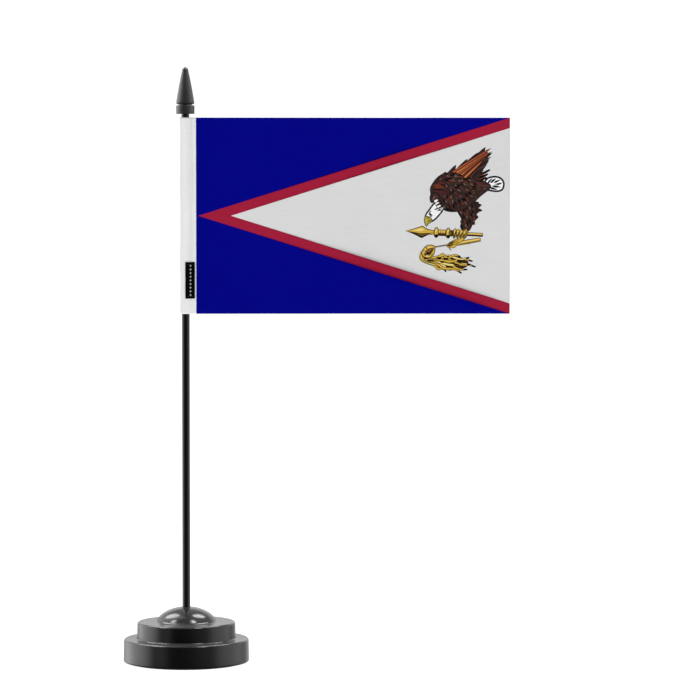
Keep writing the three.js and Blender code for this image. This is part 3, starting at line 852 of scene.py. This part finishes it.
paint_field()
paint_tail()
paint_leg()
paint_body()
paint_wing()
paint_mantle()
paint_far_shoulder()
paint_head()
paint_staff()
paint_feet()
paint_whisk()

# ---- flag panel

PANEL_THICKNESS = 0.22
HIDDEN_HOIST = 1.1
GRID_PITCH = 2.5


def cut_panel(x_low, x_high):
    """Cuts the panel along every painted outline. Returns its points, triangles and colour names."""
    columns = math.ceil((x_high - x_low) / GRID_PITCH)
    rows = math.ceil(FLAG_HEIGHT / GRID_PITCH)
    points = [Vector((x_low + (x_high - x_low) * i / columns, FLAG_HEIGHT * j / rows))
              for j in range(rows + 1) for i in range(columns + 1)]
    corners = [(x_low, 0.0), (x_high, 0.0), (x_high, FLAG_HEIGHT), (x_low, FLAG_HEIGHT)]
    edges = []
    for outline in [corners] + [shape for shape, colour in painted]:
        first, count = len(points), len(outline)
        points += [Vector(p) for p in outline]
        edges += [(first + i, first + (i + 1) % count) for i in range(count)]
    same_point = 1e-4
    made = geometry.delaunay_2d_cdt(points, edges, [], 0, same_point)
    flat = np.array([(p.x, p.y) for p in made[0]])
    triangles = np.array(made[2])
    centres = flat[triangles].mean(axis=1)
    colours = np.full(len(triangles), "blue", dtype=object)
    for shape, colour in painted:
        colours[inside(centres, np.array([tuple(p) for p in shape]))] = colour
    return flat, triangles, colours


def inside(places, outline):
    """True for each place that lies inside the outline, by counting crossings."""
    near = ((places >= outline.min(axis=0)) & (places <= outline.max(axis=0))).all(axis=1)
    x, z = places[near].T
    odd = np.zeros(len(x), bool)
    for (ax, az), (bx, bz) in zip(outline, np.roll(outline, -1, axis=0)):
        if az != bz:
            spans = (az > z) != (bz > z)
            odd ^= spans & (x < ax + (z - az) / (bz - az) * (bx - ax))
    result = np.zeros(len(places), bool)
    result[near] = odd
    return result


def make_panel():
    """The printed cloth as a thin closed sheet: both faces carry the print, as it shows through."""
    flat, triangles, colours = cut_panel(-HIDDEN_HOIST, FLAG_WIDTH)
    count = len(flat)
    normals = [ripple_normal(x, z) for x, z in flat]
    vertices = []
    for sign in (-1, 1):
        for (x, z), normal in zip(flat, normals):
            spot = Vector((panel_low.x + x, ripple(x, z), panel_low.z + z))
            vertices.append((spot + normal * (sign * PANEL_THICKNESS / 2)) * MM)
    faces, face_colours, loop_normals = [], [], []
    triangles = triangles.tolist()
    for (a, b, c), colour in zip(triangles, colours):
        faces += [(a, b, c), (a + count, c + count, b + count)]
        face_colours += [colour] * 2
        loop_normals += [-normals[a], -normals[b], -normals[c], normals[a], normals[c], normals[b]]
    for a, b, i in border(triangles):
        faces.append((b, a, a + count, b + count))
        face_colours.append(colours[i])
        run = flat[b] - flat[a]
        loop_normals += [Vector((run[1], 0.0, -run[0])).normalized()] * 4
    mesh = bpy.data.meshes.new("flag_cloth")
    mesh.from_pydata(vertices, [], faces)
    names = list(PRINT_COLOURS)
    for name in names:
        printed = cloth(f"print_{name}", PRINT_COLOURS[name], cut_edges=(panel_low, panel_high))
        mesh.materials.append(printed)
    mesh.polygons.foreach_set("material_index", [names.index(c) for c in face_colours])
    mesh.normals_split_custom_set(loop_normals)
    return new_in_scene("flag_cloth", mesh)


flag_cloth = make_panel()

# ---- sleeve

SLEEVE_THICKNESS = 0.24
SEAM_PLY_OFFSET = 0.26
STITCH_PITCH = 2.4
SLEEVE_PATH = [
    (sleeve_high.x, -SEAM_PLY_OFFSET), (4.7, -SEAM_PLY_OFFSET), (4.1, -0.36), (3.3, -1.0), (2.1, -1.95),
    (0.5, -2.52), (-1.0, -2.4), (-2.2, -1.45), (-2.6, 0.0),
]
SLEEVE_STEPS = 6


def sleeve_loop():
    """The sleeve's cross-section: out along the front ply, round the pole and back."""
    back = [(x, -y) for x, y in reversed(SLEEVE_PATH[:-1])]
    return spline(SLEEVE_PATH + back, SLEEVE_STEPS)


def sleeve_wrinkle(along, z, x):
    """Slack in the cloth: soft folds round the pole, and puckers beside the stitches."""
    soft = 0.16 * noise.noise(Vector((along * 0.35, z * 0.07, 3.0)))
    fine = 0.05 * noise.noise(Vector((along * 0.9, z * 0.3, 8.0)))
    near_seam = max(0.0, 1.0 - abs(x - thread_low.x) / 1.6)
    pucker = 0.05 * near_seam * math.cos(2 * math.pi * (z - thread_low.z) / STITCH_PITCH)
    return soft + fine + pucker


def make_sleeve():
    loop = sleeve_loop()
    last = len(loop) - 1
    rows = 124
    vertices = []
    for row in range(rows + 1):
        z = sleeve_low.z + (sleeve_high.z - sleeve_low.z) * row / rows
        for i, p in enumerate(loop):
            run = loop[min(i + 1, last)] - loop[max(i - 1, 0)]
            outward = Vector((run.y, -run.x)).normalized()
            held = min(1.0, max(0.0, (sleeve_high.x - p.x) / 1.2))
            spot = p + outward * sleeve_wrinkle(i * 0.4, z, p.x) * held
            vertices.append((*spot, z))
    obj = new_object("sleeve_cloth", vertices, grid_faces(last, rows), 180.0)
    thicken = obj.modifiers.new("thickness", "SOLIDIFY")
    thicken.thickness = SLEEVE_THICKNESS * MM
    thicken.offset = 0.0
    thicken.use_even_offset = True
    return obj


sleeve_cloth = make_sleeve()
coat(sleeve_cloth, cloth("sleeve_white", (0.88, 0.88, 0.88), 0.85))

# ---- stitches


def stitch(vertices, faces, start, end, out, thickness):
    """One stitch between two needle holes: a thread that rises from one and dips into the other."""
    start, end, out = Vector(start), Vector(end), Vector(out)
    side = (end - start).normalized().cross(out)
    steps, sides = 8, 8
    first = len(vertices)
    for i in range(steps + 1):
        t = i / steps
        rise = math.sin(math.pi * t) ** 0.5 if 0 < t < 1 else 0.0
        middle = start.lerp(end, t) + out * (thickness * (0.75 * rise - 0.45))
        radius = thickness / 2 * (0.55 + 0.45 * rise)
        for k in range(sides):
            angle = 2 * math.pi * k / sides
            vertices.append(middle + (out * math.cos(angle) + side * math.sin(angle)) * radius)
    for i in range(steps):
        for k in range(sides):
            a, b = first + i * sides + k, first + i * sides + (k + 1) % sides
            faces.append((a, b, b + sides, a + sides))
    faces.append([first + k for k in reversed(range(sides))])
    faces.append([first + steps * sides + k for k in range(sides)])


def make_seam(name, side):
    """The lockstitch row on the front (-1) or the back (+1) of the sleeve's seam."""
    vertices, faces = [], []
    x = (thread_low.x + thread_high.x) / 2
    y = side * (SEAM_PLY_OFFSET + SLEEVE_THICKNESS / 2 + 0.03)
    gap = 0.16
    for i in range(int((thread_high.z - thread_low.z) / STITCH_PITCH)):
        low = thread_low.z + i * STITCH_PITCH + gap
        high = low + STITCH_PITCH - 2 * gap
        lean = 0.05 if i % 2 else -0.05
        stitch(vertices, faces, (x - lean, y, low), (x + lean, y, high), (0, side, 0), 0.3)
    return new_object(name, vertices, faces, 60.0)


seam_front = make_seam("seam_stitches_front", -1)
seam_back = make_seam("seam_stitches_back", 1)
white_thread = twisted("thread_white", (0.93, 0.93, 0.92))
coat(seam_front, white_thread)
coat(seam_back, white_thread)

# ---- label

LABEL_THICKNESS = 0.2


def sleeve_front_y(x):
    """The front of the sleeve's outer face at a place across it."""
    front = sleeve_loop()[: (len(SLEEVE_PATH) - 1) * SLEEVE_STEPS + 1]
    for a, b in zip(front, front[1:]):
        if b.x <= x <= a.x:
            return a.y + (b.y - a.y) * (x - a.x) / (b.x - a.x) - SLEEVE_THICKNESS / 2
    return front[0].y - SLEEVE_THICKNESS / 2


def label_place(x, z, off):
    """A point a small way off the label's back, whose left corners lift very slightly."""
    step = 0.1
    slope = (sleeve_front_y(x + step) - sleeve_front_y(x - step)) / (2 * step)
    out = Vector((slope, -1.0)).normalized()
    left = max(0.0, (label_low.x + 1.2 - x) / 1.2)
    half_length = (label_high.z - label_low.z) / 2
    end = max(0.0, abs(z - (label_low.z + label_high.z) / 2) / half_length - 0.7) / 0.3
    lift = 0.18 * left * (0.3 + 0.7 * end)
    reach = off + lift + 0.2
    return Vector((x + out.x * reach, sleeve_front_y(x) + out.y * reach, z))


def make_label():
    """A strip of woven ribbon with rounded, slightly thicker selvedges."""
    columns, rows = 16, 60
    vertices = []
    for face_side in (0, 1):
        for row in range(rows + 1):
            z = label_low.z + (label_high.z - label_low.z) * row / rows
            for column in range(columns + 1):
                t = column / columns
                x = label_low.x + (label_high.x - label_low.x) * t
                selvedge = 0.05 * (math.exp(-(t / 0.06) ** 2) + math.exp(-((1 - t) / 0.06) ** 2))
                vertices.append(label_place(x, z, (LABEL_THICKNESS + selvedge) * face_side))
    back = grid_faces(columns, rows)
    layer = (columns + 1) * (rows + 1)
    front = [[corner + layer for corner in reversed(face)] for face in back]
    sides = [(b, a, a + layer, b + layer) for a, b, i in border(back)]
    return new_object("label_ribbon", vertices, back + front + sides, 40.0)


def make_label_marks():
    """A plain column of small woven lozenges down the label, with no lettering."""
    vertices, faces = [], []
    middle = (label_low.x + label_high.x) / 2
    count = 9
    half_wide, half_high, depth = 0.55, 0.62, 0.07
    for i in range(count):
        centre = label_low.z + (label_high.z - label_low.z) * (i + 1) / (count + 1)
        first = len(vertices)
        for dx, dz in ((half_wide, 0), (0, half_high), (-half_wide, 0), (0, -half_high)):
            vertices.append(label_place(middle + dx, centre + dz, LABEL_THICKNESS))
        vertices.append(label_place(middle, centre, LABEL_THICKNESS + depth))
        faces += [(first + (k + 1) % 4, first + k, first + 4) for k in range(4)]
        faces.append((first, first + 1, first + 2, first + 3))
    return new_object("label_lozenges", vertices, faces, 20.0)


def make_label_stitches(name, node):
    low, high = (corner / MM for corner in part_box(node))
    vertices, faces = [], []
    z = (low.z + high.z) / 2
    count = 2
    width = (high.x - low.x) / count
    for i in range(count):
        start = label_place(low.x + i * width + 0.15, z, LABEL_THICKNESS)
        end = label_place(low.x + (i + 1) * width - 0.15, z, LABEL_THICKNESS)
        along = (end - start).normalized()
        stitch(vertices, faces, start, end, Vector((along.y, -along.x, 0.0)), 0.24)
    return new_object(name, vertices, faces, 60.0)


label = make_label()
coat(label, cloth("label_black", (0.0015, 0.0015, 0.0018), 0.7, 0.22))
label_marks = make_label_marks()
coat(label_marks, twisted("label_white", (0.45, 0.45, 0.45)))
black_thread = twisted("thread_black", (0.006, 0.006, 0.007))
label_top = make_label_stitches("label_stitches_top", "label_stitch_top")
label_bottom = make_label_stitches("label_stitches_bottom", "label_stitch_bottom")
coat(label_top, black_thread)
coat(label_bottom, black_thread)

# ---- finishes of the CAD nodes that stay

screw_finish = metal("screw_zinc", (0.5, 0.51, 0.54), 0.3)
kept_nodes = {node: screw_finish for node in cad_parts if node.startswith("cover_screw")}
kept_nodes["ballast_ring"] = metal("ballast_steel", (0.42, 0.43, 0.45), 0.4)
kept_nodes["bottom_cover"] = moulded("cover_black", (0.01, 0.01, 0.011), 0.55)
kept_nodes["anti_slip_pad"] = foam("pad_foam", (0.008, 0.008, 0.008))
for node, material in kept_nodes.items():
    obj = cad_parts[node]
    obj.data.materials.clear()
    coat(obj, material)

# ---- floor, light and air


def make_floor():
    """A plain pale sheet. It is hidden from glossy rays, so that the black base mirrors the dark studio."""
    size = 6.0
    mesh = bpy.data.meshes.new("floor")
    mesh.from_pydata([(-size, -size, 0), (size, -size, 0), (size, size, 0), (-size, size, 0)],
                     [], [(0, 1, 2, 3)])
    floor = new_in_scene("floor", mesh)
    surface = Surface("floor_white", (0.85, 0.85, 0.85), 0.9, Specular_IOR_Level=0.0,
                      Emission_Color=(1, 1, 1, 1), Emission_Strength=0.93)
    coat(floor, surface.material)
    floor.visible_glossy = False


def soft_box(name, direction, distance, width, height, radiance, target, glossy):
    """A light of a given brightness. Only shiny surfaces see a glossy one, only matt ones the others."""
    data = bpy.data.lights.new(name, "AREA")
    data.shape = "ELLIPSE" if glossy else "RECTANGLE"
    data.size = width
    data.size_y = height
    data.energy = radiance * width * height * math.pi * (math.pi / 4 if glossy else 1.0)
    light = new_in_scene(name, data)
    towards = Vector(direction).normalized()
    place_facing(light, Vector(target) + towards * distance, towards)
    light.visible_glossy = glossy
    light.visible_diffuse = not glossy
    light.visible_camera = False


def make_world():
    """White to the camera, even to matt surfaces, and to glossy ones a studio with lit sides."""
    world = bpy.data.worlds.new("studio")
    bpy.context.scene.world = world
    world.use_nodes = True
    world.node_tree.nodes.clear()
    studio = Nodes(world.node_tree)
    calc, plus, times = studio.math, studio.plus, studio.times
    place = studio.add("TexCoord").outputs["Generated"]
    x, y, z = studio.add("SeparateXYZ", Vector=place).outputs
    angle = times(calc("ARCTAN2", x, times(y, -1.0)), 180 / math.pi)

    def lobe(centre, width, height, power):
        """A bump of brightness round an azimuth in degrees, with a flatter top for a higher power."""
        off = calc("ABSOLUTE", calc("DIVIDE", calc("SUBTRACT", angle, centre), width))
        fall = calc("EXPONENT", times(calc("POWER", off, power), -1.0))
        return times(fall, height)

    def risen(low, high, to):
        """A brightness that comes up smoothly between two heights above the horizon."""
        node = studio.add("MapRange", Value=z, From_Min=low, From_Max=high, To_Max=to)
        node.interpolation_type = "SMOOTHSTEP"
        return node.outputs[0]

    sides = 0.04
    for light in (
        (-107, 40, 2.3, 4), (-45, 12, 0.4, 2), (92, 34, 1.15, 4), (42, 26, 0.22, 2), (178, 42, 0.7, 2),
        (-182, 26, 0.7, 2),
    ):
        sides = plus(sides, lobe(*light))
    sides = times(sides, risen(-0.45, -0.15, 1.0))
    back = plus(lobe(180, 95, 1, 4), lobe(-180, 95, 1, 4))
    low_back = times(back, calc("SUBTRACT", risen(-0.05, 0.26, 1.3), risen(0.4, 0.75, 1.3)))
    mirrored = calc("MAXIMUM", calc("MAXIMUM", sides, low_back), risen(0.3, 0.8, 0.75))

    seen, even = 1.1, 0.37
    ray = studio.add("LightPath").outputs
    glossy_or_camera = plus(ray["Is Glossy Ray"], ray["Is Camera Ray"])
    strength = plus(times(mirrored, ray["Is Glossy Ray"]), times(seen, ray["Is Camera Ray"]))
    strength = plus(strength, times(calc("SUBTRACT", 1.0, glossy_or_camera), even))
    background = studio.add("Background", Color=(1, 1, 1, 1), Strength=strength)
    studio.add("OutputWorld", Surface=background.outputs[0])


BASE_AIM = (0.0, 0.0, 0.02)
FLAG_AIM = (0.09, 0.0, 0.22)
make_floor()
make_world()
for name, direction, width, height, radiance in (
    ("box_left", (-0.43, 0.38, 0.79), 0.52, 0.72, 7.5),
    ("box_right", (0.375, 0.34, 0.83), 0.42, 0.64, 10.0),
    ("top_left", (-0.60, -0.20, 0.78), 0.26, 0.50, 14.0),
    ("top_right", (0.37, -0.37, 0.85), 0.24, 0.50, 18.0),
):
    soft_box(name, direction, 1.3, width, height, radiance, BASE_AIM, glossy=True)
soft_box("key", (-0.18, -0.85, 0.5), 1.8, 1.2, 1.2, 0.92, FLAG_AIM, glossy=False)
soft_box("back_fill", (0.3, 0.85, 0.35), 1.8, 1.2, 1.2, 0.9, FLAG_AIM, glossy=False)
bpy.context.scene.view_settings.view_transform = "Standard"

# ---- what each piece is and rides on

PIECES = [
    (base_shell, "base", "base_shell", "base_plastic"),
    (pole, "pole", "pole", "pole_plastic"),
    (finial, "finial", "finial", "finial_plastic"),
    (flag_cloth, "flag", "flag_panel", "flag_fabric"),
    (sleeve_cloth, "flag", "hoist_sleeve", "sleeve_fabric"),
    (seam_front, "flag", "seam_thread_front", "thread"),
    (seam_back, "flag", "seam_thread_back", "thread"),
    (label, "flag", "sleeve_label", "label_fabric"),
    (label_marks, "flag", None, "label_fabric"),
    (label_top, "flag", "label_stitch_top", "label_thread"),
    (label_bottom, "flag", "label_stitch_bottom", "label_thread"),
]
for piece, body, node, material_slot in PIECES:
    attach(piece, body)
    if node:
        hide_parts(node)
